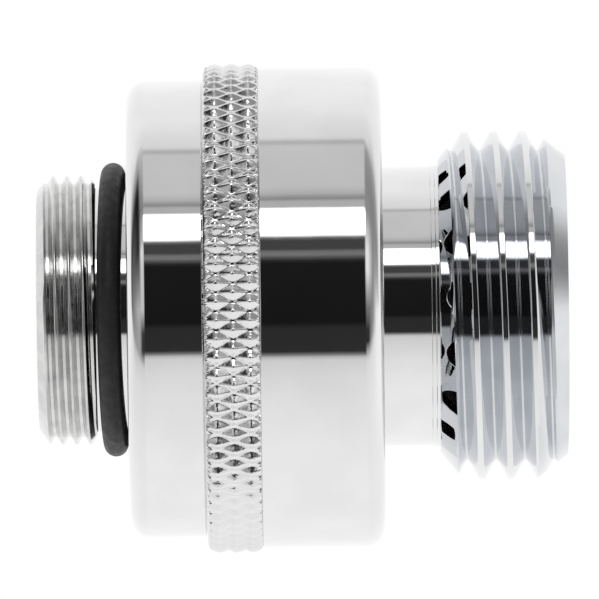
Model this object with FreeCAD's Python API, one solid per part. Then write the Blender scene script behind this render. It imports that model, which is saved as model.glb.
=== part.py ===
import FreeCAD, Part
import math
import os

# Hose bib vacuum breaker, millimetres. +Z runs along the axis from the hose outlet, whose end face is
# z = 0, up to the inlet. Every piece is turned, moulded or wound about that axis.

# Hose outlet: 3/4-11.5 NH external thread, whose crests stand at CREST_HEIGHT on the +X side
HOSE_MAJOR_D = 26.6
HOSE_PITCH = 25.4 / 11.5
HOSE_CREST = 0.42
HOSE_ROOT = 0.14
HOSE_CREST_HEIGHT = 5.41
NOZZLE_LENGTH = 9.7
NOZZLE_FACE_D = 23.0
NOZZLE_LEAD_IN = 2.3
NOZZLE_BACK_D = 22.3
NOZZLE_BACK_CHAMFER = 1.7
NOZZLE_BORE_D = 15.4

# Neck between the hose thread and the cup, with two small steps up to the thread
NECK_D = 21.3
NECK_LENGTH = 4.27
NECK_COLLAR_D = 21.44
NECK_COLLAR_WIDTH = 0.6
NECK_STEP_D = 21.6
NECK_STEP_WIDTH = 0.27

# Cup that holds the vent chamber and the diaphragm
CUP_D = 36.56
CUP_EDGE_ROUNDING = 1.18
CUP_FLOOR = 2.03
CUP_RIM_CHAMFER = 0.2
CHAMBER_D = 30.0
CHAMBER_DEPTH = 3.5
CUP_BORE_D = 32.1
SPIGOT_ENGAGEMENT = 1.4

# Twelve air vents drilled through the cup floor
VENT_COUNT = 12
VENT_D = 3.45
VENT_PITCH_R = 12.45
VENT_PHASE_DEG = 4.4

# Tube inside the cup, whose rim is the seat that the diaphragm closes on
TUBE_BORE_D = 18.0
SPRING_LEDGE_DEPTH = 2.0
VENT_SEAT_OUTER_D = 19.8
VENT_SEAT_INNER_D = 18.6
VENT_SEAT_TAPER = 0.9

# Lock ring between the cup and the inlet head, with a diamond knurl whose grooves run at 30 degrees to
# the axis: diamonds around, their length along the axis, their depth, and the place of one row of peaks
LOCK_RING_D = 37.4
LOCK_RING_WALL = 2.6
LOCK_RING_WIDTH = 4.2
LOCK_RING_ROUNDING = 0.9
KNURL_COUNT = 82
KNURL_LENGTH = 2.53
KNURL_DEPTH = 0.45
KNURL_ROW_HEIGHT = 0.74
KNURL_PHASE_DEG = -0.6

# Inlet head, seal seat and 13/16-24 external thread
HEAD_D = 34.8
HEAD_WIDTH = 5.8
HEAD_ROUNDING = 1.15
HEAD_SEAM_CHAMFER = 0.15
SEAL_SEAT_D = 18.7
SEAL_SEAT_LENGTH = 2.5
INLET_MAJOR_D = 20.5
INLET_PITCH = 25.4 / 24
INLET_CREST = 0.16
INLET_ROOT = 0.22
INLET_CREST_HEIGHT = 39.0
INLET_THREAD_LENGTH = 4.4
INLET_BACK_D = 19.24
INLET_BACK_CHAMFER = 0.4
INLET_FACE_D = 18.2
INLET_LEAD_IN = 0.8
INLET_BORE_D = 15.4

# Inlet O-ring, slightly loose on its seat
O_RING_PLAY = 0.035
O_RING_SECTION_D = 1.83
O_RING_STAND_OFF = 0.17

# Rubber diaphragm and the slip ring that lets the inlet body turn on it
DIAPHRAGM_RIM_THICKNESS = 1.6
DIAPHRAGM_RIM_WIDTH = 1.1
DIAPHRAGM_BEAD_THICKNESS = 1.2
DIAPHRAGM_BEAD_D = 20.4
DIAPHRAGM_WEB = 0.8
DIAPHRAGM_DIP = 0.7
DIAPHRAGM_FOLD_WIDTH = 1.1
DIAPHRAGM_SOFTENING = 0.5
SLIP_RING_THICKNESS = 0.8
SLIP_RING_BORE_D = 22.0

# Check hub, which carries the diaphragm's bead and closes the vents when the supply is on
VENT_TRAVEL = 1.1
HUB_FLANGE_D = 17.4
HUB_FLANGE_THICKNESS = 0.8
HUB_COLLAR_D = 12.4
HUB_BORE_D = 10.4
HUB_SPOKES = 4
HUB_SPOKE_WIDTH = 1.4
HUB_SPOKE_HEIGHT = 1.4
HUB_SPOKE_RECESS = 0.9
HUB_BOSS_D = 5.2
HUB_STOP_GAP = 0.1
RETAINER_D = 18.0
RETAINER_THICKNESS = 0.9

# Check poppet with its rubber face, push washer, spring cap and clip
POPPET_D = 13.2
POPPET_THICKNESS = 1.0
POPPET_EDGE_ROUNDING = 0.3
POPPET_DIMPLE_D = 4.0
POPPET_DIMPLE_DEPTH = 0.3
POPPET_SEAL_THICKNESS = 0.9
STEM_D = 2.4
STEM_TIP_LENGTH = 0.7
STEM_TIP_CHAMFER = 0.25
PUSH_WASHER_D = 4.4
PUSH_WASHER_THICKNESS = 0.25
CHECK_SPRING_LENGTH = 5.6
SPRING_CAP_D = 6.2
SPRING_CAP_THICKNESS = 0.6
SPRING_CAP_PILOT_D = 3.6
SPRING_CAP_PILOT_DEPTH = 0.5
CLIP_D = 4.6
CLIP_THICKNESS = 0.45
CLIP_GROOVE_D = 1.7
CLIP_MOUTH = 1.5

# Springs: mean coil diameter, wire and number of half turns
CHECK_SPRING_D = 4.4
CHECK_SPRING_WIRE = 0.45
CHECK_SPRING_HALF_TURNS = 9
VENT_SPRING_D = 16.6
VENT_SPRING_WIRE = 0.6
VENT_SPRING_HALF_TURNS = 8

# Clearances: threaded and pushed fits, the sliding stem, closed valve faces and spring ends
FIT = 0.05
STEM_PLAY = 0.08
VALVE_GAP = 0.05
SPRING_GAP = 0.02

# Heights worked out from the bottom up
CUP_FACE = NOZZLE_LENGTH + NECK_LENGTH
CHAMBER_FLOOR = CUP_FACE + CUP_FLOOR
SPRING_LEDGE = CUP_FACE - SPRING_LEDGE_DEPTH
DIAPHRAGM_LEDGE = CHAMBER_FLOOR + CHAMBER_DEPTH
SLIP_RING_FLOOR = DIAPHRAGM_LEDGE + DIAPHRAGM_RIM_THICKNESS
SPIGOT_END = SLIP_RING_FLOOR + SLIP_RING_THICKNESS
CUP_RIM = SPIGOT_END + SPIGOT_ENGAGEMENT
LOCK_RING_TOP = CUP_RIM + LOCK_RING_WIDTH
HEAD_TOP = LOCK_RING_TOP + HEAD_WIDTH
SEAL_SEAT_TOP = HEAD_TOP + SEAL_SEAT_LENGTH
INLET_END = SEAL_SEAT_TOP + INLET_THREAD_LENGTH

# Heights of the moving pieces, from the face of the inlet body that stops them
RETAINER_TOP = SPIGOT_END - HUB_STOP_GAP
BEAD_TOP = RETAINER_TOP - RETAINER_THICKNESS
BEAD_BOTTOM = BEAD_TOP - DIAPHRAGM_BEAD_THICKNESS
VENT_SEAT = BEAD_BOTTOM - VENT_TRAVEL
CHECK_SEAT = BEAD_BOTTOM - HUB_FLANGE_THICKNESS
SPOKE_BOTTOM = CHECK_SEAT + HUB_SPOKE_RECESS
BOSS_TOP = RETAINER_TOP
SEAL_TOP = CHECK_SEAT - VALVE_GAP
POPPET_TOP = SEAL_TOP - POPPET_SEAL_THICKNESS
POPPET_BOTTOM = POPPET_TOP - POPPET_THICKNESS
SPRING_CAP_BOTTOM = BOSS_TOP + CHECK_SPRING_LENGTH
SPRING_CAP_TOP = SPRING_CAP_BOTTOM + SPRING_CAP_THICKNESS
CLIP_TOP = SPRING_CAP_TOP + CLIP_THICKNESS
STEM_TOP = CLIP_TOP + STEM_TIP_LENGTH

SPIGOT_D = CUP_BORE_D - 2 * FIT
AXIS_POINT = FreeCAD.Vector(0, 0, 0)
AXIS = FreeCAD.Vector(0, 0, 1)


def turned(*corners):
    """Turn a closed outline about Z. A corner is (radius, height) or (radius, height, rounding)."""
    points = [FreeCAD.Vector(corner[0], 0, corner[1]) for corner in corners]
    cuts = []
    for index, corner in enumerate(corners):
        point = points[index]
        back = FreeCAD.Vector(points[index - 1] - point).normalize()
        ahead = FreeCAD.Vector(points[(index + 1) % len(points)] - point).normalize()
        if len(corner) < 3:
            cuts.append((point, None, point))
            continue
        half_angle = back.getAngle(ahead) / 2
        reach = corner[2] / math.tan(half_angle)
        inset = corner[2] / math.sin(half_angle) - corner[2]
        middle = FreeCAD.Vector(back + ahead).normalize()
        cuts.append((point + back * reach, point + middle * inset, point + ahead * reach))
    edges = []
    for index, (start, middle, end) in enumerate(cuts):
        previous_end = cuts[index - 1][2]
        if start.distanceToPoint(previous_end) > 1e-6:
            edges.append(Part.makeLine(previous_end, start))
        if middle is not None:
            edges.append(Part.Arc(start, middle, end).toShape())
    face = Part.Face(Part.Wire(edges))
    solid = face.revolve(AXIS_POINT, AXIS, 360)
    if solid.Volume < 0:
        solid.reverse()
    return solid


def thread_groove(major_d, pitch, crest, root, crest_height, bottom, top):
    """Cutter for a right-hand 60 degree thread between two heights: a V with a flat tip, swept along a
    helix. The widths of the crests and roots that it leaves give its depth."""
    flank = math.tan(math.radians(30))
    depth = (pitch - crest - root) / 2 / flank
    proud = 0.4 * crest / flank
    wide = (pitch - crest) / 2 + proud * flank
    root_r = major_d / 2 - depth
    turns_below = math.ceil((crest_height - bottom + wide) / pitch - 0.5)
    start = crest_height - (turns_below + 0.5) * pitch
    turns = math.ceil((top + wide - start) / pitch) + 1
    path = Part.makeHelix(pitch, turns * pitch, root_r)
    path.translate(FreeCAD.Vector(0, 0, start))
    section = [
        FreeCAD.Vector(root_r, 0, start - root / 2),
        FreeCAD.Vector(major_d / 2 + proud, 0, start - wide),
        FreeCAD.Vector(major_d / 2 + proud, 0, start + wide),
        FreeCAD.Vector(root_r, 0, start + root / 2),
    ]
    return Part.Wire(path).makePipeShell([Part.makePolygon(section + section[:1])], True, True)


def ring(inner_d, outer_d, bottom, top):
    """Flat ring between two heights."""
    return turned((inner_d / 2, bottom), (outer_d / 2, bottom), (outer_d / 2, top), (inner_d / 2, top))


def around(count, phase_deg, make):
    """Copies of one solid, evenly spaced about the axis from a phase angle."""
    copies = []
    for index in range(count):
        copy = make()
        copy.rotate(AXIS_POINT, AXIS, phase_deg + 360.0 * index / count)
        copies.append(copy)
    return copies


def coil_spring(mean_d, wire, bottom, top, half_turns):
    """Round-wire compression spring between two seats. Each half turn is half a ring, tilted so that it
    climbs from one side to the other, and all of them run level where they join."""
    climb = (top - bottom - wire - 2 * SPRING_GAP) / half_turns
    height = bottom + SPRING_GAP + wire / 2
    side = 1
    halves = []
    for _ in range(half_turns):
        start = FreeCAD.Vector(side * mean_d / 2, 0, height)
        end = FreeCAD.Vector(-side * mean_d / 2, 0, height + climb)
        centre = (start + end) / 2
        along = FreeCAD.Vector(0, side, 0)
        section = Part.Face(Part.Wire(Part.makeCircle(wire / 2, start, along)))
        halves.append(section.revolve(centre, (start - centre).cross(along), 180))
        height += climb
        side = -side
    return halves[0].fuse(halves[1:])


def outlet_body():
    """Nozzle, neck, cup and vent seat, turned from one bar, with the vents drilled from below."""
    hose_r = HOSE_MAJOR_D / 2
    neck_r = NECK_D / 2
    cup_r = CUP_D / 2
    collar_r = NECK_COLLAR_D / 2
    step_r = NECK_STEP_D / 2
    body = turned(
        (NOZZLE_BORE_D / 2, 0),
        (NOZZLE_FACE_D / 2, 0),
        (hose_r, NOZZLE_LEAD_IN),
        (hose_r, NOZZLE_LENGTH - NOZZLE_BACK_CHAMFER),
        (NOZZLE_BACK_D / 2, NOZZLE_LENGTH),
        (step_r, NOZZLE_LENGTH),
        (step_r, NOZZLE_LENGTH + NECK_STEP_WIDTH),
        (collar_r, NOZZLE_LENGTH + NECK_STEP_WIDTH),
        (collar_r, NOZZLE_LENGTH + NECK_COLLAR_WIDTH),
        (neck_r, NOZZLE_LENGTH + NECK_COLLAR_WIDTH),
        (neck_r, CUP_FACE),
        (cup_r, CUP_FACE, CUP_EDGE_ROUNDING),
        (cup_r, CUP_RIM - CUP_RIM_CHAMFER),
        (cup_r - CUP_RIM_CHAMFER, CUP_RIM),
        (CUP_BORE_D / 2, CUP_RIM),
        (CUP_BORE_D / 2, DIAPHRAGM_LEDGE),
        (CHAMBER_D / 2, DIAPHRAGM_LEDGE),
        (CHAMBER_D / 2, CHAMBER_FLOOR),
        (neck_r, CHAMBER_FLOOR),
        (neck_r, VENT_SEAT - VENT_SEAT_TAPER),
        (VENT_SEAT_OUTER_D / 2, VENT_SEAT),
        (VENT_SEAT_INNER_D / 2, VENT_SEAT),
        (TUBE_BORE_D / 2, VENT_SEAT - VENT_SEAT_TAPER / 3),
        (TUBE_BORE_D / 2, SPRING_LEDGE),
        (NOZZLE_BORE_D / 2, SPRING_LEDGE),
    )

    def vent():
        hole = Part.makeCylinder(VENT_D / 2, CUP_FLOOR + 2)
        hole.translate(FreeCAD.Vector(VENT_PITCH_R, 0, CUP_FACE - 1))
        return hole

    drilled = body.cut(Part.makeCompound(around(VENT_COUNT, VENT_PHASE_DEG, vent)))
    return drilled.cut(thread_groove(
        HOSE_MAJOR_D, HOSE_PITCH, HOSE_CREST, HOSE_ROOT, HOSE_CREST_HEIGHT, 0, NOZZLE_LENGTH
    ))


def knurl(bottom, top):
    """Solid that a diamond knurl leaves of a round bar, from just below one height to just above
    another. Two sets of V grooves cross on the bar. Each row of the skin has peaks and groove crossings
    by turns, and the next row has them the other way round, so that every peak is the tip of a
    four-sided pyramid."""
    row = KNURL_LENGTH / 2
    first_peaks = CUP_RIM + KNURL_ROW_HEIGHT
    lowest = math.floor((bottom - first_peaks) / row) - 1
    highest = math.ceil((top - first_peaks) / row) + 1

    def corner(column, level):
        is_peak = (column + level) % 2 == 0
        radius = LOCK_RING_D / 2 - (0 if is_peak else KNURL_DEPTH)
        turn = math.radians(KNURL_PHASE_DEG) + math.pi * column / KNURL_COUNT
        return FreeCAD.Vector(radius * math.cos(turn), radius * math.sin(turn), first_peaks + row * level)

    def facet(*corners):
        return Part.Face(Part.makePolygon(corners + corners[:1]))

    facets = []
    for level in range(lowest, highest):
        for column in range(2 * KNURL_COUNT):
            low, next_low = corner(column, level), corner(column + 1, level)
            high, next_high = corner(column, level + 1), corner(column + 1, level + 1)
            if (column + level) % 2 == 0:
                facets += [facet(low, next_low, high), facet(next_low, next_high, high)]
            else:
                facets += [facet(low, next_low, next_high), facet(low, next_high, high)]
    for level in (lowest, highest):
        facets.append(facet(*(corner(column, level) for column in range(2 * KNURL_COUNT))))
    skin = Part.Shell(facets)
    skin.sewShape()
    return Part.Solid(skin)


def knurled_ring():
    """Lock ring that clamps the cup against the inlet head: its knurl runs out at the cup's side, and
    into a rounded corner at the inlet side."""
    bore_r = LOCK_RING_D / 2 - LOCK_RING_WALL
    blank_r = LOCK_RING_D / 2 + FIT
    blank = turned(
        (bore_r, CUP_RIM),
        (blank_r, CUP_RIM),
        (blank_r, LOCK_RING_TOP, LOCK_RING_ROUNDING),
        (bore_r, LOCK_RING_TOP),
    )
    return blank.common(knurl(CUP_RIM, LOCK_RING_TOP))


def inlet_body():
    """Inlet thread, seal seat, head and the spigot that screws into the lock ring and the cup."""
    collar_r = LOCK_RING_D / 2 - LOCK_RING_WALL - FIT
    body = turned(
        (INLET_BORE_D / 2, SPIGOT_END),
        (SPIGOT_D / 2, SPIGOT_END),
        (SPIGOT_D / 2, CUP_RIM),
        (collar_r, CUP_RIM),
        (collar_r, LOCK_RING_TOP),
        (HEAD_D / 2 - HEAD_SEAM_CHAMFER, LOCK_RING_TOP),
        (HEAD_D / 2, LOCK_RING_TOP + HEAD_SEAM_CHAMFER),
        (HEAD_D / 2, HEAD_TOP, HEAD_ROUNDING),
        (SEAL_SEAT_D / 2, HEAD_TOP),
        (SEAL_SEAT_D / 2, SEAL_SEAT_TOP),
        (INLET_BACK_D / 2, SEAL_SEAT_TOP),
        (INLET_MAJOR_D / 2, SEAL_SEAT_TOP + INLET_BACK_CHAMFER),
        (INLET_MAJOR_D / 2, INLET_END - INLET_LEAD_IN),
        (INLET_FACE_D / 2, INLET_END),
        (INLET_BORE_D / 2, INLET_END),
    )
    return body.cut(thread_groove(
        INLET_MAJOR_D, INLET_PITCH, INLET_CREST, INLET_ROOT, INLET_CREST_HEIGHT,
        SEAL_SEAT_TOP + INLET_BACK_CHAMFER, INLET_END,
    ))


def inlet_o_ring():
    """O-ring on the seal seat, which the mating spout squeezes against the head."""
    section_r = O_RING_SECTION_D / 2
    o_ring = Part.makeTorus(SEAL_SEAT_D / 2 + O_RING_PLAY + section_r, section_r)
    o_ring.translate(FreeCAD.Vector(0, 0, HEAD_TOP + O_RING_STAND_OFF + section_r))
    return o_ring


def slip_ring():
    """Thin hard ring that keeps the diaphragm from twisting as the inlet body is screwed in."""
    return ring(SLIP_RING_BORE_D, SPIGOT_D, SLIP_RING_FLOOR, SPIGOT_END)


def diaphragm():
    """Rubber diaphragm: clamped rim, a web that dips in one soft fold, and the bead that seals the vents."""
    rim_outer = SPIGOT_D / 2
    rim_inner = rim_outer - DIAPHRAGM_RIM_WIDTH
    bead_outer = DIAPHRAGM_BEAD_D / 2
    fold_inner = bead_outer + DIAPHRAGM_FOLD_WIDTH
    fold_outer = rim_inner - DIAPHRAGM_FOLD_WIDTH
    fold_bottom = BEAD_BOTTOM - DIAPHRAGM_DIP
    fold_top = fold_bottom + DIAPHRAGM_WEB
    return turned(
        (HUB_COLLAR_D / 2 + FIT, BEAD_BOTTOM),
        (bead_outer, BEAD_BOTTOM),
        (fold_inner, fold_bottom, DIAPHRAGM_SOFTENING),
        (fold_outer, fold_bottom, DIAPHRAGM_SOFTENING),
        (rim_inner, DIAPHRAGM_LEDGE),
        (rim_outer, DIAPHRAGM_LEDGE),
        (rim_outer, SLIP_RING_FLOOR),
        (rim_inner, SLIP_RING_FLOOR),
        (rim_inner, DIAPHRAGM_LEDGE + DIAPHRAGM_WEB),
        (fold_outer, fold_top, DIAPHRAGM_SOFTENING),
        (fold_inner, fold_top, DIAPHRAGM_SOFTENING),
        (bead_outer, BEAD_TOP),
        (HUB_COLLAR_D / 2 + FIT, BEAD_TOP),
    )


def diaphragm_retainer():
    """Ring pushed over the hub's collar, which grips the diaphragm's bead from above."""
    return ring(HUB_COLLAR_D + 2 * FIT, RETAINER_D, BEAD_TOP, RETAINER_TOP)


def check_hub():
    """Moulded hub: flange, collar and a spoked boss that guides the poppet's stem."""
    shell = turned(
        (HUB_BORE_D / 2, CHECK_SEAT),
        (HUB_FLANGE_D / 2, CHECK_SEAT),
        (HUB_FLANGE_D / 2, BEAD_BOTTOM),
        (HUB_COLLAR_D / 2, BEAD_BOTTOM),
        (HUB_COLLAR_D / 2, RETAINER_TOP),
        (HUB_BORE_D / 2, RETAINER_TOP),
    )
    boss = Part.makeCylinder(HUB_BOSS_D / 2, BOSS_TOP - SPOKE_BOTTOM, FreeCAD.Vector(0, 0, SPOKE_BOTTOM))
    spoke_length = (HUB_BORE_D + HUB_COLLAR_D) / 4

    def spoke():
        corner = FreeCAD.Vector(0, -HUB_SPOKE_WIDTH / 2, SPOKE_BOTTOM)
        return Part.makeBox(spoke_length, HUB_SPOKE_WIDTH, HUB_SPOKE_HEIGHT, corner)

    hub = shell.fuse([boss] + around(HUB_SPOKES, 0, spoke))
    stem_hole = Part.makeCylinder(
        STEM_D / 2 + STEM_PLAY, BOSS_TOP - CHECK_SEAT + 2, FreeCAD.Vector(0, 0, CHECK_SEAT - 1)
    )
    return hub.cut(stem_hole).removeSplitter()


def check_poppet():
    """Moulded poppet: disc, stem and the groove for its clip."""
    stem_r = STEM_D / 2
    groove_r = CLIP_GROOVE_D / 2
    return turned(
        (0, POPPET_BOTTOM + POPPET_DIMPLE_DEPTH),
        (POPPET_DIMPLE_D / 2 - POPPET_DIMPLE_DEPTH, POPPET_BOTTOM + POPPET_DIMPLE_DEPTH),
        (POPPET_DIMPLE_D / 2, POPPET_BOTTOM),
        (POPPET_D / 2, POPPET_BOTTOM, POPPET_EDGE_ROUNDING),
        (POPPET_D / 2, POPPET_TOP),
        (stem_r, POPPET_TOP),
        (stem_r, SPRING_CAP_TOP),
        (groove_r, SPRING_CAP_TOP),
        (groove_r, CLIP_TOP),
        (stem_r, CLIP_TOP),
        (stem_r, STEM_TOP - STEM_TIP_CHAMFER),
        (stem_r - STEM_TIP_CHAMFER, STEM_TOP),
        (0, STEM_TOP),
    )


def poppet_seal():
    """Rubber washer on the poppet, which closes against the hub's flange."""
    return ring(STEM_D + 2 * FIT, POPPET_D, POPPET_TOP, SEAL_TOP)


def push_washer():
    """Small washer pushed down the stem to hold the rubber washer."""
    return ring(STEM_D + 2 * FIT, PUSH_WASHER_D, SEAL_TOP, SEAL_TOP + PUSH_WASHER_THICKNESS)


def spring_cap():
    """Cap on the stem that the check spring pushes up, with a pilot inside the coil."""
    bore_r = STEM_D / 2 + FIT
    return turned(
        (bore_r, SPRING_CAP_BOTTOM - SPRING_CAP_PILOT_DEPTH),
        (SPRING_CAP_PILOT_D / 2, SPRING_CAP_BOTTOM - SPRING_CAP_PILOT_DEPTH),
        (SPRING_CAP_PILOT_D / 2, SPRING_CAP_BOTTOM),
        (SPRING_CAP_D / 2, SPRING_CAP_BOTTOM),
        (SPRING_CAP_D / 2, SPRING_CAP_TOP),
        (bore_r, SPRING_CAP_TOP),
    )


def stem_clip():
    """Spring-steel clip snapped into the stem's groove over the cap."""
    disc = ring(CLIP_GROOVE_D + 2 * FIT, CLIP_D, SPRING_CAP_TOP, CLIP_TOP)
    mouth = Part.makeBox(CLIP_D, CLIP_MOUTH, CLIP_THICKNESS + 2)
    mouth.translate(FreeCAD.Vector(0, -CLIP_MOUTH / 2, SPRING_CAP_TOP - 1))
    return disc.cut(mouth)


def check_spring():
    """Spring between the hub's boss and the cap, which holds the poppet shut."""
    return coil_spring(
        CHECK_SPRING_D, CHECK_SPRING_WIRE, BOSS_TOP, SPRING_CAP_BOTTOM, CHECK_SPRING_HALF_TURNS
    )


def vent_spring():
    """Spring between the nozzle's ledge and the hub's flange, which holds the vents open."""
    return coil_spring(VENT_SPRING_D, VENT_SPRING_WIRE, SPRING_LEDGE, CHECK_SEAT, VENT_SPRING_HALF_TURNS)


PIECES = (
    outlet_body,
    knurled_ring,
    inlet_body,
    inlet_o_ring,
    slip_ring,
    diaphragm,
    diaphragm_retainer,
    check_hub,
    check_poppet,
    poppet_seal,
    push_washer,
    spring_cap,
    stem_clip,
    check_spring,
    vent_spring,
)

os.makedirs("parts", exist_ok=True)
for piece in PIECES:
    shape = piece()
    shape.exportStep(os.path.join("parts", piece.__name__ + ".step"))
    print(piece.__name__, len(shape.Solids), round(shape.Volume, 2), shape.isValid())
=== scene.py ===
import math

import bpy
import numpy as np
from mathutils import Matrix, Vector


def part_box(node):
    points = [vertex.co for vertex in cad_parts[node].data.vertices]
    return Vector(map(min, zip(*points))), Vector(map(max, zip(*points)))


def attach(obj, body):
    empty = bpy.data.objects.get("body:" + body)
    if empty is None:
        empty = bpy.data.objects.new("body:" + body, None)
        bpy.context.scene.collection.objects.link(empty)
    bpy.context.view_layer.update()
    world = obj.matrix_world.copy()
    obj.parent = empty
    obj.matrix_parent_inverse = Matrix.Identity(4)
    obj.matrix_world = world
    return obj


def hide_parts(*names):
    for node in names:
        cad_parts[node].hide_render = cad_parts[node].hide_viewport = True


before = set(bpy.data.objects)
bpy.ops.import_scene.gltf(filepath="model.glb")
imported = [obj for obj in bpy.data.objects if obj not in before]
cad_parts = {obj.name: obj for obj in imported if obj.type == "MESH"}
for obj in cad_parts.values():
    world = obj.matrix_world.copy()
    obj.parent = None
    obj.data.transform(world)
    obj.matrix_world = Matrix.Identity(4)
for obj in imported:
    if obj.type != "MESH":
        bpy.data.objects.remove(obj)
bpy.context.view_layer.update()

# Chromed hose bib vacuum breaker. The script works in millimetres and turns them into metres in each mesh.
# The axis is +Z, from the hose outlet at z = 0 up to the inlet.
MM = 0.001


def heights(node):
    """Lowest and highest point of a solid, in millimetres."""
    low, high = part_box(node)
    return low[2] / MM, high[2] / MM


# Heights that the solids give
CUP_RIM = heights("outlet_body")[1]
SPIGOT_END, INLET_END = heights("inlet_body")
RING_TOP = heights("knurled_ring")[1]
O_RING_LOW, O_RING_HIGH = heights("inlet_o_ring")
SLIP_RING_FLOOR = heights("slip_ring")[0]
DIAPHRAGM_RIM = 1.6

# Hose nozzle. Radii, heights and roundings are in millimetres, and slopes are radius over height.
HOSE_R = 13.3
HOSE_PITCH = 25.4 / 11.5
HOSE_CREST = 0.42
HOSE_ROOT = 0.14
HOSE_CREST_ROUNDING = 0.06
HOSE_CREST_HEIGHT = 5.41
NOZZLE_LENGTH = 9.7
NOZZLE_FACE_R = 11.5
NOZZLE_LEAD_SLOPE = 0.783
NOZZLE_BACK_R = 11.15
NOZZLE_BACK_SLOPE = 1.269
NOZZLE_BORE_R = 7.7
STEP_R = 10.8
STEP_WIDTH = 0.27
STEP_ROUNDING = 0.03
COLLAR_R = 10.72
COLLAR_WIDTH = 0.6
COLLAR_ROUNDING = 0.02
NECK_R = 10.65

# Cup and its vents
CUP_FACE = 13.97
CUP_R = 18.28
CUP_ROUNDING = 1.45
CUP_FACE_MARGIN = 0.4
CUP_RIM_CHAMFER = 0.06
CUP_FLOOR = 16.0
CHAMBER_R = 15.0
CUP_BORE_R = 16.05
DIAPHRAGM_LEDGE = SLIP_RING_FLOOR - DIAPHRAGM_RIM
VENTS = 12
VENT_R = 1.725
VENT_PITCH_R = 12.45
VENT_BREAK = 0.05
VENT_PHASE = math.radians(4.4)
TUBE_BORE_R = 9.0
TUBE_LEDGE = 11.97
SEAT_OUTER_R = 9.9
SEAT_INNER_R = 9.3
SEAT = 18.6
SEAT_TAPER = 0.9

# Knurled ring
RING_R = 18.7
RING_BORE_R = 16.1
RING_ROUNDING = 0.9
RING_CORNER_SHARE = 0.98
KNURLS = 82
KNURL_LENGTH = 2.53
KNURL_DEPTH = 0.45
KNURL_ROW_HEIGHT = 0.74
KNURL_PHASE = math.radians(-0.6)
KNURL_CRISPNESS = 4
KNURL_TIP_CUT = 0.03
KNURL_TIP_BLEND = 0.04
KNURL_GROOVE_BLEND = 0.03
KNURL_EDGE_BLEND = 0.02
KNURL_END_DROP = 0.02
KNURL_END_SLOPE = 1.5
KNURL_UNEVENNESS = (-0.03, 0.02)
KNURL_UNEVEN_ROWS = 8
KNURL_SEED = 7

# Inlet head, seal seat and thread
HEAD_R = 17.4
HEAD_TOP = 33.3
HEAD_ROUNDING = 1.4
HEAD_EDGE_CHAMFER = 0.15
HEAD_EDGE_ROUNDING = 0.03
SEAL_SEAT_R = 9.35
SEAL_SEAT_TOP = 35.8
INLET_R = 10.25
INLET_PITCH = 25.4 / 24
INLET_CREST = 0.16
INLET_ROOT = 0.22
INLET_CREST_ROUNDING = 0.12
INLET_CREST_HEIGHT = 39.0
INLET_FACE_R = 9.1
INLET_LEAD_SLOPE = 1.4375
INLET_BACK_R = 9.62
INLET_BACK_SLOPE = 1.6
INLET_BORE_R = 7.7
SPIGOT_R = 16.0

# O-ring: how it leans, its squeezed section and its mould's flash line
O_RING_PLAY = 0.42
O_RING_REST = 0.08
O_RING_SQUEEZE = 0.99
O_RING_FLASH = 0.0075
O_RING_FLASH_WIDTH = 0.05

# Fineness of the surfaces. Edges under SHARP degrees are shaded smooth, and a point at HOLD from an edge
# keeps the shading of the straight run beside it.
AROUND = 300
EDGE_BREAK = 0.08
ROOT_ROUNDING = 0.02
SHARP = 40
HOLD = 0.03
THREAD_ROW = 0.17
THREAD_END_BLEND = 0.04
WELD_DIGITS = 4
CLOSE = 1e-6


# Surfaces

def angles(count=AROUND):
    """Evenly spaced angles about the axis, lined up with the vents."""
    return VENT_PHASE + 2 * np.pi * np.arange(count) / count


def polar(radius, angle, height):
    """Points from radius, angle and height, which are arrays of one shape."""
    return np.stack(np.broadcast_arrays(radius * np.cos(angle), radius * np.sin(angle), height), axis=-1)


def mesh_of_grid(points, wrap_across=True, wrap_along=False):
    """Points in rows along the outline and columns around the axis become four-sided faces. Faces look
    outwards when columns run anticlockwise and rows climb on an outer wall."""
    rows, columns = points.shape[:2]
    index = np.arange(rows * columns).reshape(rows, columns)
    if wrap_along:
        index = np.vstack([index, index[:1]])
    if wrap_across:
        index = np.hstack([index, index[:, :1]])
    faces = np.stack([index[:-1, :-1], index[:-1, 1:], index[1:, 1:], index[1:, :-1]], axis=-1)
    return points.reshape(-1, 3), faces.reshape(-1, 4)


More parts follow.
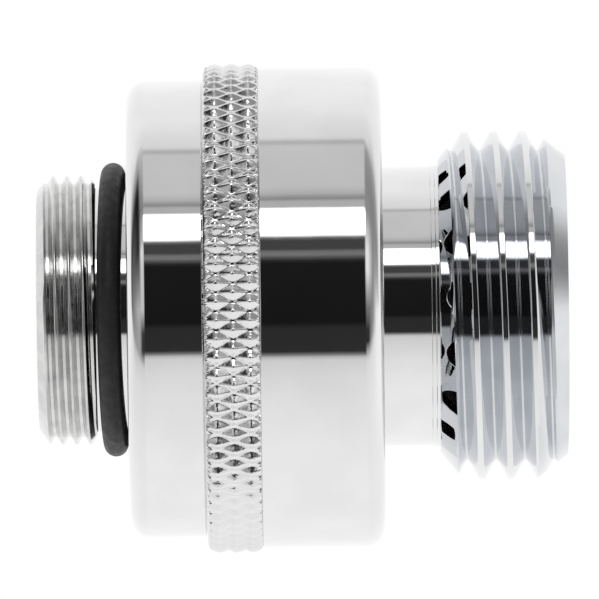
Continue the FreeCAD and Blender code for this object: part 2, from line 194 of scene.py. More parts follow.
def outline(corners, closed=True, steps=7):
    """Section of a turned piece. A corner is (radius, height) or (radius, height, rounding): each is
    rounded by an arc between its two straight runs, with a point held close to both ends of the arc so
    that the straight runs keep their own shading."""
    points = [np.array(c[:2], float) for c in corners]
    line = []
    for index, corner in enumerate(corners):
        point = points[index]
        if not closed and index in (0, len(corners) - 1):
            line.append(point)
            continue
        back = points[index - 1] - point
        ahead = points[(index + 1) % len(points)] - point
        shorter = min(np.linalg.norm(back), np.linalg.norm(ahead))
        room = 0.45 * shorter
        back /= np.linalg.norm(back)
        ahead /= np.linalg.norm(ahead)
        half = 0.5 * math.acos(np.clip(back @ ahead, -1, 1))
        if half > math.pi / 2 - 1e-3 or corner[0] < 1e-6:
            line.append(point)
            continue
        radius = corner[2] if len(corner) > 2 else EDGE_BREAK
        reach = radius / math.tan(half)
        if len(corner) < 3 and reach > room:
            radius, reach = radius * room / reach, room
        middle = (back + ahead) / np.linalg.norm(back + ahead)
        centre = point + middle * radius / math.sin(half)
        start, end = point + back * reach, point + ahead * reach
        spread = math.pi - 2 * half
        count = max(3, int(math.ceil(steps * spread / (math.pi / 2) * (2 if radius > 0.5 else 1))))
        from_centre = start - centre
        turn = np.sign(from_centre[0] * (end - centre)[1] - from_centre[1] * (end - centre)[0]) * spread
        t = turn * np.arange(count + 1) / count
        arc = centre + np.stack([
            from_centre[0] * np.cos(t) - from_centre[1] * np.sin(t),
            from_centre[0] * np.sin(t) + from_centre[1] * np.cos(t)], axis=-1)
        hold = min(HOLD, room - reach if room > reach else 0.2 * (shorter - reach))
        line.append(start + back * hold)
        line.extend(arc)
        line.append(end + ahead * hold)
    return np.array(line)


def turned(corners, closed=True, count=AROUND):
    """Carry an outline round the axis."""
    section = outline(corners, closed)
    points = polar(section[:, :1], angles(count)[None, :], section[:, 1:])
    return mesh_of_grid(points, wrap_along=closed)


def soft_min(a, b, blend):
    """The smaller of two surfaces, with the line where they cross rounded: half of their sum less the
    root of their difference squared plus the blend squared."""
    return 0.5 * (a + b - np.sqrt((a - b) ** 2 + blend ** 2))


def thread_section(pitch, crest, root, crest_r, rounding, steps=7):
    """One pitch of a 60 degree thread as offsets from the crest's middle and radii: half a crest, a
    straight flank, a root, a flank and half a crest, with the crest's corners rounded and the root's
    almost sharp."""
    depth = (pitch - crest - root) / 2 / math.tan(math.radians(30))
    flank = (pitch - crest - root) / 2
    corners = [
        (crest_r, 0.0), (crest_r, crest / 2, rounding),
        (crest_r - depth, crest / 2 + flank, ROOT_ROUNDING),
        (crest_r - depth, crest / 2 + flank + root, ROOT_ROUNDING),
        (crest_r, pitch - crest / 2, rounding),
        (crest_r, pitch),
    ]
    line = outline(corners, closed=False, steps=steps)
    return line[:, 1], line[:, 0]


def threaded(low, high, pitch, crest, root, crest_r, crest_height, ends, rounding, finish):
    """Right-hand thread between two heights. Rows follow the helix: the height of a row is its offset in
    the section, plus the pitch times the turns, held between both ends. ends are (radius, height, slope)
    of the cones that cut the thread off. Flanks get the material number finish, crests get 0."""
    angle = np.append(angles(), angles()[0] + 2 * np.pi)[None, :]
    turns = angle / (2 * np.pi)
    offset, radius = thread_section(pitch, crest, root, crest_r, rounding)
    rows = np.concatenate([
        np.linspace(a, b, 1 + max(1, int(round((b - a) / THREAD_ROW))))[:-1]
        for a, b in zip(offset[:-1], offset[1:])])
    first = math.floor((low - crest_height) / pitch - turns.max())
    last = math.ceil((high - crest_height) / pitch - turns.min())
    rows = (rows[None, :] + pitch * np.arange(first, last + 1)[:, None]).reshape(-1, 1)
    height = np.clip(crest_height + rows + pitch * turns, low, high)
    within = np.mod(height - crest_height - pitch * turns, pitch)
    surface = np.interp(within, offset, radius)
    for end_r, end_height, slope in ends:
        surface = soft_min(surface, end_r + slope * (height - end_height), THREAD_END_BLEND)
    surface = np.where(height <= low + CLOSE, ends[0][0], surface)
    surface = np.where(height >= high - CLOSE, ends[1][0], surface)
    points, faces = mesh_of_grid(polar(surface, angle, height), wrap_across=False)
    middle = surface.reshape(-1)[faces].mean(axis=1)
    return points, faces, np.where(middle < crest_r - 0.5 * rounding, finish, 0)


def drilled_face(height, inner_r, outer_r, facing):
    """Flat ring with the vents in it, as one patch per vent: each hole's edge is joined to the edge of
    its own sector of the ring by straight spokes, and its wall goes on to the middle of the cup's floor.
    facing is -1 for a face that looks down."""
    arc = AROUND // VENTS
    side = 8
    half = math.pi / VENTS
    sweep = np.linspace(-half, half, arc + 1)
    run = np.linspace(0, 1, side + 1)[1:-1]
    outer = np.stack([outer_r * np.cos(sweep), outer_r * np.sin(sweep)], axis=-1)
    inner = np.stack([inner_r * np.cos(sweep[::-1]), inner_r * np.sin(sweep[::-1])], axis=-1)
    left = outer[-1] + (inner[0] - outer[-1]) * run[:, None]
    right = inner[-1] + (outer[0] - inner[-1]) * run[:, None]
    border = np.vstack([outer, left, inner, right])
    centre = np.array([VENT_PITCH_R, 0.0])
    direction = border - centre
    direction /= np.linalg.norm(direction, axis=1)[:, None]
    hole = centre + (VENT_R + VENT_BREAK) * direction
    shares = np.array([0, 0.04, 0.15, 0.4, 0.7, 1.0])[:, None, None]
    sheet = hole + (border - hole) * shares
    wall = centre + VENT_R * direction
    flat = np.vstack([[wall, wall], sheet])
    wall_heights = [(CUP_FLOOR + CUP_FACE) / 2, height - facing * VENT_BREAK]
    level = np.concatenate([wall_heights, np.full(len(shares), height)])
    order = slice(None) if facing > 0 else slice(None, None, -1)
    patches = []
    for vent in range(VENTS):
        turn = VENT_PHASE + 2 * math.pi * vent / VENTS
        x = flat[..., 0] * math.cos(turn) - flat[..., 1] * math.sin(turn)
        y = flat[..., 0] * math.sin(turn) + flat[..., 1] * math.cos(turn)
        points = np.stack([x, y, np.broadcast_to(level[:, None], x.shape)], axis=-1)
        patches.append(mesh_of_grid(points[order]))
    return patches


def piece(name, patches, body, node, slot, *materials):
    """One mesh from several patches, welded where they meet. A patch is (points, faces) or
    (points, faces, material number)."""
    points = np.vstack([patch[0] for patch in patches])
    first, weld = np.unique(
        np.round(points, WELD_DIGITS), axis=0, return_index=True, return_inverse=True)[1:]
    points, weld = points[first], weld.reshape(-1)
    loops, numbers, offset = [], [], 0
    for patch in patches:
        loops += [dedupe(face) for face in weld[patch[1] + offset].tolist()]
        numbers.append(np.zeros(len(patch[1]), int) + (patch[2] if len(patch) > 2 else 0))
        offset += len(patch[0])
    numbers = np.concatenate(numbers)
    keep = [index for index, loop in enumerate(loops) if len(loop) > 2]
    mesh = bpy.data.meshes.new(name)
    mesh.from_pydata((points * MM).tolist(), [], [loops[index] for index in keep])
    mesh.polygons.foreach_set("material_index", numbers[keep].astype(np.int32))
    mesh.polygons.foreach_set("use_smooth", np.ones(len(keep), dtype=bool))
    for material in materials:
        mesh.materials.append(material)
    mesh.validate()
    mesh.update()
    mesh.set_sharp_from_angle(angle=math.radians(SHARP))
    made = bpy.data.objects.new(name, mesh)
    bpy.context.scene.collection.objects.link(made)
    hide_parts(node)
    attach(made, body)
    return made


def dedupe(loop):
    """A face's corners without neighbours that were welded together."""
    kept = []
    for corner in loop:
        if corner not in kept:
            kept.append(corner)
    return kept


# Materials

def shader(name, metallic=0.0):
    """New material with its node tree and its main shader."""
    material = bpy.data.materials.new(name)
    material.use_nodes = True
    tree = material.node_tree
    bsdf = tree.nodes["Principled BSDF"]
    bsdf.inputs["Metallic"].default_value = metallic
    return material, tree, bsdf


def noise(tree, scale, detail=3.0, roughness=0.5):
    """Cloudy values from 0 to 1 that stay with the piece. The scale counts clouds in a metre."""
    place = tree.nodes.new("ShaderNodeTexCoord")
    texture = tree.nodes.new("ShaderNodeTexNoise")
    texture.inputs["Scale"].default_value = scale
    texture.inputs["Detail"].default_value = detail
    texture.inputs["Roughness"].default_value = roughness
    tree.links.new(place.outputs["Object"], texture.inputs["Vector"])
    return texture.outputs["Fac"]


def ranged(tree, value, low, high, out_low, out_high):
    """The value carried from one range to another and held at its ends."""
    node = tree.nodes.new("ShaderNodeMapRange")
    node.inputs["From Min"].default_value = low
    node.inputs["From Max"].default_value = high
    node.inputs["To Min"].default_value = out_low
    node.inputs["To Max"].default_value = out_high
    tree.links.new(value, node.inputs["Value"])
    return node.outputs["Result"]


def glossed(tree, bsdf, scale, smooth, rough):
    """Roughness that drifts between two levels with a noise."""
    tree.links.new(ranged(tree, noise(tree, scale), 0.3, 0.7, smooth, rough), bsdf.inputs["Roughness"])


def bumped(tree, bsdf, value, strength, distance):
    """Fine relief in the shading, with its full height in metres."""
    node = tree.nodes.new("ShaderNodeBump")
    node.inputs["Strength"].default_value = strength
    node.inputs["Distance"].default_value = distance
    tree.links.new(value, node.inputs["Height"])
    tree.links.new(node.outputs["Normal"], bsdf.inputs["Normal"])


def tinted(tree, bsdf, value, low_color, high_color, low=0.35, high=0.65):
    """Base colour that runs between two tones with the value."""
    ramp = tree.nodes.new("ShaderNodeValToRGB")
    ramp.color_ramp.elements[0].position = low
    ramp.color_ramp.elements[0].color = (*low_color, 1)
    ramp.color_ramp.elements[1].position = high
    ramp.color_ramp.elements[1].color = (*high_color, 1)
    tree.links.new(value, ramp.inputs["Fac"])
    tree.links.new(ramp.outputs["Color"], bsdf.inputs["Base Color"])


def polished_chrome():
    """Mirror chrome: a faint cloudiness in the gloss and the slight waviness of plating over polish."""
    material, tree, bsdf = shader("polished_chrome", metallic=1.0)
    tinted(tree, bsdf, noise(tree, 220.0), (0.80, 0.80, 0.805), (0.84, 0.84, 0.845))
    glossed(tree, bsdf, 900.0, 0.015, 0.05)
    bumped(tree, bsdf, noise(tree, 160.0, 1.0), 0.04, 0.0002)
    return material


def flank_chrome_painted_shade():
    """Chrome down in the cut thread, a shade darker and bluer: painted shade of the thread's grooves and a
    painted bluish reflection.
    """
    material, tree, bsdf = shader("flank_chrome_painted_shade", metallic=1.0)
    # painted shade: the flanks' base colour is set darker and bluer than the polished chrome, to stand in
    # for the shade and bluish reflection in the thread's grooves
    tinted(tree, bsdf, noise(tree, 300.0), (0.68, 0.695, 0.72), (0.74, 0.755, 0.775))
    glossed(tree, bsdf, 900.0, 0.01, 0.04)
    bumped(tree, bsdf, noise(tree, 600.0, 2.0), 0.03, 0.0001)
    return material


def knurl_chrome():
    """Chrome over the rolled knurl: bright, on metal that the rolling left dented."""
    material, tree, bsdf = shader("knurl_chrome", metallic=1.0)
    tinted(tree, bsdf, noise(tree, 220.0), (0.80, 0.80, 0.805), (0.86, 0.86, 0.865))
    glossed(tree, bsdf, 900.0, 0.02, 0.06)
    bumped(tree, bsdf, noise(tree, 2600.0, 2.0), 0.6, 0.00006)
    return material


def satin_chrome():
    """Chrome over an unpolished cut thread: greyer, with fine tool chatter."""
    material, tree, bsdf = shader("satin_chrome", metallic=1.0)
    tinted(tree, bsdf, noise(tree, 700.0), (0.62, 0.62, 0.62), (0.74, 0.74, 0.73))
    glossed(tree, bsdf, 1500.0, 0.1, 0.2)
    bumped(tree, bsdf, noise(tree, 2500.0, 2.0), 0.12, 0.00003)
    return material


def seal_rubber():
    """Black moulded rubber with a dry bloom and specks of dust."""
    material, tree, bsdf = shader("seal_rubber")
    tinted(tree, bsdf, noise(tree, 1400.0, 6.0, 0.7), (0.007, 0.007, 0.008), (0.017, 0.017, 0.018))
    glossed(tree, bsdf, 1800.0, 0.42, 0.62)
    bumped(tree, bsdf, noise(tree, 5000.0, 3.0), 0.35, 0.00004)
    return material


def moulded_acetal():
    """Natural acetal: creamy, slightly waxy, with a fine spark finish."""
    material, tree, bsdf = shader("moulded_acetal")
    tinted(tree, bsdf, noise(tree, 400.0), (0.78, 0.76, 0.70), (0.86, 0.84, 0.78))
    bsdf.inputs["Subsurface Weight"].default_value = 0.15
    bsdf.inputs["Subsurface Radius"].default_value = (0.001, 0.0008, 0.0006)
    glossed(tree, bsdf, 900.0, 0.35, 0.5)
    bumped(tree, bsdf, noise(tree, 6000.0), 0.15, 0.00003)
    return material


def stamped_brass():
    """Bare yellow brass strip, a little tarnished."""
    material, tree, bsdf = shader("stamped_brass", metallic=1.0)
    tinted(tree, bsdf, noise(tree, 500.0, 5.0), (0.52, 0.34, 0.13), (0.72, 0.52, 0.24))
    glossed(tree, bsdf, 1200.0, 0.25, 0.42)
    return material


def spring_wire():
    """Drawn stainless wire: bright, with faint draw marks."""
    material, tree, bsdf = shader("spring_wire", metallic=1.0)
    tinted(tree, bsdf, noise(tree, 800.0), (0.50, 0.50, 0.49), (0.63, 0.63, 0.61))
    glossed(tree, bsdf, 3000.0, 0.2, 0.35)
    bumped(tree, bsdf, noise(tree, 4000.0), 0.1, 0.00002)
    return material


# Pieces

def hose_thread():
    """Nozzle's outside, from its end face up to the collar behind the thread. Its flanks get the second
    material, which carries the painted shade of the grooves."""
    ends = ((NOZZLE_FACE_R, 0.0, NOZZLE_LEAD_SLOPE), (NOZZLE_BACK_R, NOZZLE_LENGTH, -NOZZLE_BACK_SLOPE))
    return threaded(0.0, NOZZLE_LENGTH, HOSE_PITCH, HOSE_CREST, HOSE_ROOT, HOSE_R,
                    HOSE_CREST_HEIGHT, ends, HOSE_CREST_ROUNDING, 1)


def outlet_body(chrome, flank):
    """Nozzle with its thread, neck, drilled cup floor, cup, and the tube inside with the vent seat."""
    neck = turned([
        (NOZZLE_BACK_R, NOZZLE_LENGTH),
        (STEP_R, NOZZLE_LENGTH, STEP_ROUNDING),
        (STEP_R, NOZZLE_LENGTH + STEP_WIDTH, STEP_ROUNDING),
        (COLLAR_R, NOZZLE_LENGTH + STEP_WIDTH, STEP_ROUNDING),
        (COLLAR_R, NOZZLE_LENGTH + COLLAR_WIDTH, COLLAR_ROUNDING),
        (NECK_R, NOZZLE_LENGTH + COLLAR_WIDTH, COLLAR_ROUNDING),
        (NECK_R, CUP_FACE - HOLD),
        (NECK_R, CUP_FACE),
    ], closed=False)
    face_edge = CUP_R - CUP_ROUNDING - CUP_FACE_MARGIN
    cup = turned([
        (face_edge, CUP_FACE),
        (CUP_R, CUP_FACE, CUP_ROUNDING),
        (CUP_R, CUP_RIM - CUP_RIM_CHAMFER),
        (CUP_R - CUP_RIM_CHAMFER, CUP_RIM),
        (CUP_BORE_R, CUP_RIM),
        (CUP_BORE_R, DIAPHRAGM_LEDGE),
        (CHAMBER_R, DIAPHRAGM_LEDGE),
        (CHAMBER_R, CUP_FLOOR),
    ], closed=False)
    tube = turned([
        (NECK_R, CUP_FLOOR),
        (NECK_R, SEAT - SEAT_TAPER),
        (SEAT_OUTER_R, SEAT),
        (SEAT_INNER_R, SEAT),
        (TUBE_BORE_R, SEAT - SEAT_TAPER / 3),
        (TUBE_BORE_R, TUBE_LEDGE),
        (NOZZLE_BORE_R, TUBE_LEDGE),
        (NOZZLE_BORE_R, 0.0),
        (NOZZLE_FACE_R, 0.0),
    ], closed=False)
    patches = [hose_thread(), neck, cup, tube]
    patches += drilled_face(CUP_FACE, NECK_R, face_edge, -1)
    patches += drilled_face(CUP_FLOOR, NECK_R, CHAMBER_R, 1)
    return piece("outlet_body_chrome", patches, "breaker_body", "outlet_body", "polished_chrome",
                 chrome, flank)


def knurl_surface(across, along, height):
    """Radius of the diamond knurl: a pyramid in each diamond, whose four ridges and tip are blunt, with
    rounded grooves between, cut down by the ring's rounded corner at the inlet side and by a cone at the
    cup's side. across counts diamonds round the ring, and along counts them up the axis. Each pyramid is
    a little higher or lower than the next."""
    one, other = across + along, across - along
    near_one, near_other = np.round(one), np.round(other)
    uneven = np.random.default_rng(KNURL_SEED).uniform(*KNURL_UNEVENNESS, (KNURL_UNEVEN_ROWS, 2 * KNURLS))
    row = (near_one - near_other).astype(int) % len(uneven)
    column = (near_one + near_other).astype(int) % (2 * KNURLS)
    a, b = 2 * np.abs(one - near_one), 2 * np.abs(other - near_other)
    slope = 1 - (a ** KNURL_CRISPNESS + b ** KNURL_CRISPNESS) ** (1 / KNURL_CRISPNESS)
    tip = KNURL_DEPTH - KNURL_TIP_CUT
    rise = soft_min((KNURL_DEPTH + uneven[row, column]) * slope, tip, KNURL_TIP_BLEND)
    rise = -soft_min(-rise, 0.0, KNURL_GROOVE_BLEND)
    into_corner = np.clip(height - (RING_TOP - RING_ROUNDING), 0, RING_CORNER_SHARE * RING_ROUNDING)
    shoulder = RING_R - RING_ROUNDING + np.sqrt(RING_ROUNDING ** 2 - into_corner ** 2)
    bevel = RING_R - KNURL_DEPTH - KNURL_END_DROP + KNURL_END_SLOPE * (height - CUP_RIM)
    knurl = soft_min(RING_R - KNURL_DEPTH + rise, shoulder, KNURL_EDGE_BLEND)
    return soft_min(knurl, bevel, KNURL_EDGE_BLEND)


def knurled_skin():
    """Grid over the knurl whose lines run along the two sets of grooves, closer together beside a
    groove. Points past the ring's two sides are held at them, and each cell is split along the ridge of
    its pyramid."""
    part = np.array([0, 0.03, 0.07, 0.14, 0.25, 0.375, 0.5, 0.625, 0.75, 0.86, 0.93, 0.97])
    cells = len(part)
    columns = np.arange(KNURLS * cells)
    first_peaks = CUP_RIM + KNURL_ROW_HEIGHT
    lowest = int(2 * cells * ((CUP_RIM - first_peaks) / KNURL_LENGTH - 0.5)) - cells
    highest = int(2 * cells * ((RING_TOP - first_peaks) / KNURL_LENGTH + 0.5)) + cells
    steps = np.arange(lowest, highest)[:, None]
    one = columns // cells - 0.5 + part[columns % cells]
    index = columns[None, :] - steps
    other = index // cells - 0.5 + part[index % cells]
    across, along = (one + other) / 2, (one - other) / 2
    height = np.clip(first_peaks + KNURL_LENGTH * along, CUP_RIM, RING_TOP)
    radius = knurl_surface(across, (height - first_peaks) / KNURL_LENGTH, height)
    points = polar(radius, KNURL_PHASE + 2 * np.pi * across / KNURLS, height).reshape(-1, 3)
    number = np.arange(across.size).reshape(across.shape)
    ahead = np.roll(number, -1, axis=1)
    corners = [number[1:-1], number[:-2], ahead[1:-1], ahead[2:]]
    a, d, c, b = (corner.reshape(-1, 1) for corner in corners)
    level = (columns[None, :] % cells < cells // 2) == (index[1:-1] % cells < cells // 2)
    level = level.reshape(-1, 1)
    triangles = np.vstack([
        np.where(level, np.hstack([a, d, c]), np.hstack([a, d, b])),
        np.where(level, np.hstack([a, c, b]), np.hstack([d, c, b])),
    ])
    corner_heights = points[:, 2][triangles]
    at_cup = np.all(corner_heights <= CUP_RIM + CLOSE, axis=1)
    at_head = np.all(corner_heights >= RING_TOP - CLOSE, axis=1)
    return points, triangles[~at_cup & ~at_head]


def knurled_ring(chrome, knurl):
    """Lock ring: the knurled skin, and the two flat sides and the bore, whose points are taken from the
    skin's edges."""
    points, triangles = knurled_skin()
    used = points[np.unique(triangles)]
    patches = [(points, triangles, 1)]
    for height, facing in ((CUP_RIM, -1), (RING_TOP, 1)):
        edge = used[np.abs(used[:, 2] - height) < CLOSE]
        edge = np.unique(np.round(edge, 5), axis=0)
        edge = edge[np.argsort(np.arctan2(edge[:, 1], edge[:, 0]))]
        bore = edge.copy()
        bore[:, :2] *= RING_BORE_R / np.linalg.norm(edge[:, :2], axis=1)[:, None]
        patches.append(mesh_of_grid(np.stack([bore, edge] if facing < 0 else [edge, bore])))
    bore = polar(RING_BORE_R, angles()[None, :], np.array([[RING_TOP], [CUP_RIM]]))
    patches.append(mesh_of_grid(bore))
    return piece("knurled_ring_chrome", patches, "breaker_body", "knurled_ring", "polished_chrome",
                 chrome, knurl)


def inlet_body(chrome, satin):
    """Spigot, head, seal seat and fine inlet thread around the straight inlet bore. All of the thread is
    satin."""
    low = turned([
        (INLET_BORE_R, INLET_END),
        (INLET_BORE_R, SPIGOT_END),
        (SPIGOT_R, SPIGOT_END),
        (SPIGOT_R, RING_TOP),
        (HEAD_R - HEAD_EDGE_CHAMFER, RING_TOP, HEAD_EDGE_ROUNDING),
        (HEAD_R, RING_TOP + HEAD_EDGE_CHAMFER, HEAD_EDGE_ROUNDING),
        (HEAD_R, HEAD_TOP, HEAD_ROUNDING),
        (SEAL_SEAT_R, HEAD_TOP),
        (SEAL_SEAT_R, SEAL_SEAT_TOP),
        (INLET_BACK_R, SEAL_SEAT_TOP),
    ], closed=False)
    ends = ((INLET_BACK_R, SEAL_SEAT_TOP, INLET_BACK_SLOPE), (INLET_FACE_R, INLET_END, -INLET_LEAD_SLOPE))
    points, faces, _ = threaded(SEAL_SEAT_TOP, INLET_END, INLET_PITCH, INLET_CREST, INLET_ROOT, INLET_R,
                                INLET_CREST_HEIGHT, ends, INLET_CREST_ROUNDING, 1)
    face = turned([(INLET_FACE_R, INLET_END), (INLET_BORE_R, INLET_END)], closed=False)
    patches = [low, (points, faces, 1), face]
    return piece("inlet_body_chrome", patches, "breaker_body", "inlet_body", "polished_chrome",
                 chrome, satin)


def inlet_o_ring(rubber):
    """O-ring with the fine flash line that its mould leaves round its outside. It lies loose in its
    seat, close to the head except at the front, where it has slipped towards the thread: its middle
    rises by its play times the square of half of one minus the sine of the angle."""
    section_r = (O_RING_HIGH - O_RING_LOW) / 2
    middle = (O_RING_HIGH + O_RING_LOW) / 2
    ring_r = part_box("inlet_o_ring")[1][0] / MM - section_r
    t = np.linspace(0, 2 * np.pi, 48, endpoint=False)[:, None]
    flash = O_RING_FLASH * np.exp(-(np.sin(t) / O_RING_FLASH_WIDTH) ** 2) * (np.cos(t) > 0)
    section = section_r * O_RING_SQUEEZE + flash
    around = angles()[None, :]
    lift = O_RING_PLAY * ((1 - np.sin(around)) / 2) ** 2 - O_RING_REST
    points = polar(ring_r + section * np.cos(t), around, middle + lift + section * np.sin(t))
    return piece("inlet_o_ring_rubber", [mesh_of_grid(points, wrap_along=True)], "breaker_body",
                 "inlet_o_ring", "seal_rubber", rubber)


def dress(node, material):
    """Gives a solid that shows as it is its own finish."""
    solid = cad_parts[node]
    solid.data.materials.clear()
    solid.data.materials.append(material)


# Studio

PIXELS_ACROSS = 599
PIXELS_PER_MM = 13.1
OUTLET_PIXEL = 565.5
AXIS_PIXEL = 307.5
CAMERA_AWAY = 900.0
SENSOR_WIDTH = 36.0
ROLL = math.radians(0.7)
FLOOR_REACH = 3.0
FLOOR_GLOW = 1.06
FLOOR_GLOW_SHARE = 0.9


def camera():
    """Level view of the breaker lying with its inlet to the left: the camera is rolled a quarter turn."""
    across = PIXELS_ACROSS / PIXELS_PER_MM
    data = bpy.data.cameras.new("photo_camera")
    data.sensor_width = SENSOR_WIDTH
    data.lens = SENSOR_WIDTH * CAMERA_AWAY / across
    data.clip_start = 0.01
    data.clip_end = 20.0
    made = bpy.data.objects.new("photo_camera", data)
    bpy.context.scene.collection.objects.link(made)
    middle = PIXELS_ACROSS / 2
    height = (OUTLET_PIXEL - middle) / PIXELS_PER_MM
    lift = (AXIS_PIXEL - middle) / PIXELS_PER_MM
    right = Vector((-math.sin(ROLL), 0, -math.cos(ROLL)))
    up = Vector((math.cos(ROLL), 0, -math.sin(ROLL)))
    back = right.cross(up)
    place = Vector((lift, 0, height)) * MM + back * CAMERA_AWAY * MM
    made.matrix_world = Matrix((
        (right.x, up.x, back.x, place.x),
        (right.y, up.y, back.y, place.y),
        (right.z, up.z, back.z, place.z),
        (0, 0, 0, 1),
    ))
    bpy.context.scene.camera = made


# The studio seen from the breaker: at each height, in degrees, the brightness of the walls by compass
# angle in degrees. 0 is the camera's side, 90 the lit side, and heights climb towards the inlet.
FRONT = (
    (-180, 1.03), (-120, 1.0), (-70, 0.95), (-45, 0.88), (-32, 0.80), (-25, 0.72), (-23.5, 0.5),
    (-22, 0.03), (-9, 0.027), (-8, 0.01), (22, 0.012), (23.5, 0.05), (25, 0.2), (26.5, 0.2),
    (28, 0.06), (33, 0.06), (34.5, 0.3), (36.5, 4.0), (47, 4.0), (48.5, 0.5), (52, 0.5), (53.7, 0.26),
    (56, 0.5), (60, 0.62), (82, 0.64), (84, 0.66), (85.5, 0.5), (87.5, 0.55), (89, 0.8), (110, 0.95),
    (150, 1.03), (180, 1.03),
)
JUST_BELOW = (
    (-180, 1.03), (-45, 0.9), (-31, 0.84), (-26, 0.8), (-21, 0.37), (-17, 0.03), (-11, 0.036),
    (-6, 0.12), (0, 0.2), (8, 0.45), (18, 0.9), (28, 0.9), (33, 0.75), (38, 0.62), (44, 0.42), (49, 0.31),
    (65, 0.29), (77, 0.34), (83, 0.41), (90, 0.81), (110, 0.95), (180, 1.03),
)
JUST_ABOVE = (
    (-180, 1.03), (-45, 0.88), (-30, 0.75), (-25, 0.3), (-22, 0.04), (-12, 0.05), (-6, 0.3), (0, 0.62),
    (22, 0.7), (30, 0.85), (35, 0.55), (47, 0.35), (52, 0.25), (60, 0.3), (75, 0.45), (82, 0.5),
    (88, 0.6), (94, 0.85), (110, 0.95), (180, 1.03),
)
HIGHER = (
    (-180, 1.03), (-45, 0.88), (-30, 0.74), (-25, 0.4), (-13, 0.41), (0, 0.5), (10, 0.31), (21, 0.15),
    (33, 0.036), (62, 0.014), (68, 0.018), (75, 0.1), (81, 0.36), (88, 0.48), (94, 0.83), (110, 0.95),
    (180, 1.03),
)
WALLS = (
    (-84, ((-180, 1.03), (-27, 1.0), (-5, 0.88), (15, 0.78), (35, 0.66), (50, 0.6), (62, 0.54),
           (71, 0.48), (84, 0.45), (95, 0.5), (104, 0.6), (112, 0.8), (130, 1.0), (180, 1.03))),
    (-73, ((-180, 1.05), (-40, 1.02), (-6, 0.95), (13, 0.66), (30, 0.44), (45, 0.35), (63, 0.3),
           (83, 0.34), (103, 0.46), (117, 0.66), (130, 0.9), (180, 1.0))),
    (-50, ((-180, 1.0), (-60, 0.95), (-26, 0.87), (-20, 0.73), (-14, 0.46), (-8, 0.34), (0, 0.28),
           (35, 0.28), (59, 0.26), (71, 0.29), (83, 0.38), (89, 0.44), (95, 0.6), (102, 0.81),
           (115, 0.95), (180, 1.0))),
    (-22, JUST_BELOW),
    (-12, JUST_BELOW),
    (-5, FRONT),
    (4, FRONT),
    (9, JUST_ABOVE),
    (18, JUST_ABOVE),
    (32, HIGHER),
    (42, HIGHER),
    (74, ((-180, 1.0), (-60, 0.88), (-45, 0.77), (-36, 0.62), (-26, 0.4), (-15, 0.3), (0, 0.25),
          (30, 0.17), (50, 0.12), (66, 0.07), (80, 0.06), (92, 0.15), (97, 0.28), (108, 0.58),
          (115, 0.8), (125, 0.95), (180, 1.0))),
)


def world_math(tree, operation, *values):
    """Result of one sum on the world's values, which are numbers or sockets."""
    node = tree.nodes.new("ShaderNodeMath")
    node.operation = operation
    for socket, value in zip(node.inputs, values):
        if isinstance(value, (int, float)):
            socket.default_value = value
        else:
            tree.links.new(value, socket)
    return node.outputs["Value"]


def wall(tree, share, stops):
    """Brightness along one height of the walls, as a grey ramp over the compass angle."""
    ramp = tree.nodes.new("ShaderNodeValToRGB")
    elements = ramp.color_ramp.elements
    for number, (angle, level) in enumerate(stops):
        position = (angle + 180) / 360
        stop = elements[number] if number < 2 else elements.new(position)
        stop.position = position
        stop.color = (level, level, level, 1)
    tree.links.new(share, ramp.inputs["Fac"])
    return ramp.outputs["Color"]


def mixed(tree, share, one, other):
    """Colour that goes from one socket's to the other's, or to a plain colour, with the share."""
    node = tree.nodes.new("ShaderNodeMix")
    node.data_type = "RGBA"
    first, second = [socket for socket in node.inputs if socket.type == "RGBA"]
    tree.links.new(share, node.inputs["Factor"])
    tree.links.new(one, first)
    if isinstance(other, tuple):
        second.default_value = other
    else:
        tree.links.new(other, second)
    return [socket for socket in node.outputs if socket.type == "RGBA"][0]


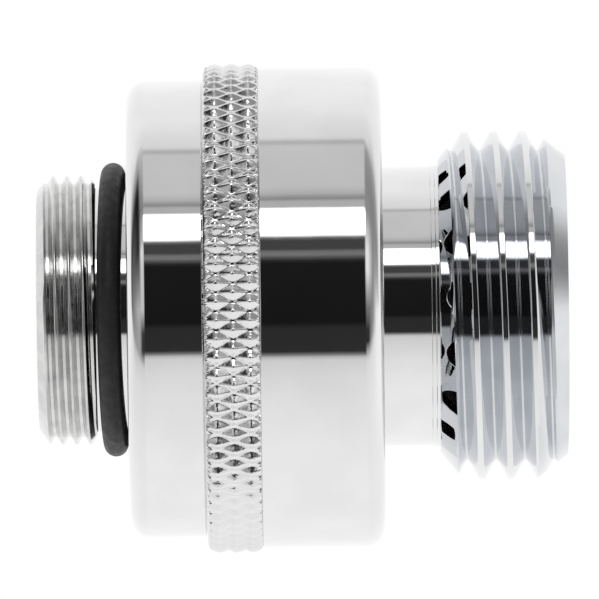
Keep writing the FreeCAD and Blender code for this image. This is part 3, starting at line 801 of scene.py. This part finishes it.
def studio():
    """White room with a black flag round the camera, strip lights beside it and grey cards. The walls'
    brightness is blended from one height to the next. The camera itself sees plain white."""
    world = bpy.data.worlds.new("studio")
    bpy.context.scene.world = world
    world.use_nodes = True
    tree = world.node_tree
    place = tree.nodes.new("ShaderNodeTexCoord")
    split = tree.nodes.new("ShaderNodeSeparateXYZ")
    tree.links.new(place.outputs["Generated"], split.inputs["Vector"])
    towards = world_math(tree, "MULTIPLY", split.outputs["Y"], -1.0)
    compass = world_math(tree, "ARCTAN2", split.outputs["X"], towards)
    share = ranged(tree, compass, -math.pi, math.pi, 0, 1)
    climb = world_math(tree, "DEGREES", world_math(tree, "ARCSINE", split.outputs["Z"]))
    shade = wall(tree, share, WALLS[0][1])
    for (below, _), (above, stops) in zip(WALLS, WALLS[1:]):
        climbed = ranged(tree, climb, below, above, 0, 1)
        shade = mixed(tree, climbed, shade, wall(tree, share, stops))
    ray = tree.nodes.new("ShaderNodeLightPath")
    colour = mixed(tree, ray.outputs["Is Camera Ray"], shade, (1, 1, 1, 1))
    background = tree.nodes["Background"]
    tree.links.new(colour, background.inputs["Color"])
    background.inputs["Strength"].default_value = 1.0


def floor():
    """Plain white surface that the breaker stands on. It glows for the camera alone, so that it has no
    edge against the white room, and mirrors don't show it."""
    mesh = bpy.data.meshes.new("floor")
    corners = [(-1, -1), (1, -1), (1, 1), (-1, 1)]
    mesh.from_pydata([(x * FLOOR_REACH, y * FLOOR_REACH, 0) for x, y in corners], [], [(0, 1, 2, 3)])
    made = bpy.data.objects.new("floor", mesh)
    bpy.context.scene.collection.objects.link(made)
    material, tree, bsdf = shader("white_floor")
    bsdf.inputs["Base Color"].default_value = (0.86, 0.86, 0.86, 1)
    bsdf.inputs["Roughness"].default_value = 0.9
    glow = tree.nodes.new("ShaderNodeEmission")
    glow.inputs["Color"].default_value = (1, 1, 1, 1)
    glow.inputs["Strength"].default_value = FLOOR_GLOW
    ray = tree.nodes.new("ShaderNodeLightPath")
    share = ranged(tree, ray.outputs["Is Camera Ray"], 0, 1, 0, FLOOR_GLOW_SHARE)
    mix = tree.nodes.new("ShaderNodeMixShader")
    tree.links.new(share, mix.inputs["Fac"])
    tree.links.new(bsdf.outputs["BSDF"], mix.inputs[1])
    tree.links.new(glow.outputs["Emission"], mix.inputs[2])
    tree.links.new(mix.outputs["Shader"], tree.nodes["Material Output"].inputs["Surface"])
    mesh.materials.append(material)
    made.visible_glossy = False


def main():
    chrome = polished_chrome()
    rubber = seal_rubber()
    acetal = moulded_acetal()
    wire = spring_wire()
    outlet_body(chrome, flank_chrome_painted_shade())
    knurled_ring(chrome, knurl_chrome())
    inlet_body(chrome, satin_chrome())
    inlet_o_ring(rubber)
    for node in ("diaphragm", "poppet_seal"):
        dress(node, rubber)
    for node in ("check_hub", "check_poppet", "diaphragm_retainer", "spring_cap"):
        dress(node, acetal)
    for node in ("push_washer", "stem_clip", "check_spring", "vent_spring"):
        dress(node, wire)
    dress("slip_ring", stamped_brass())
    camera()
    studio()
    floor()


main()
bpy.context.scene.view_settings.view_transform = "Standard"
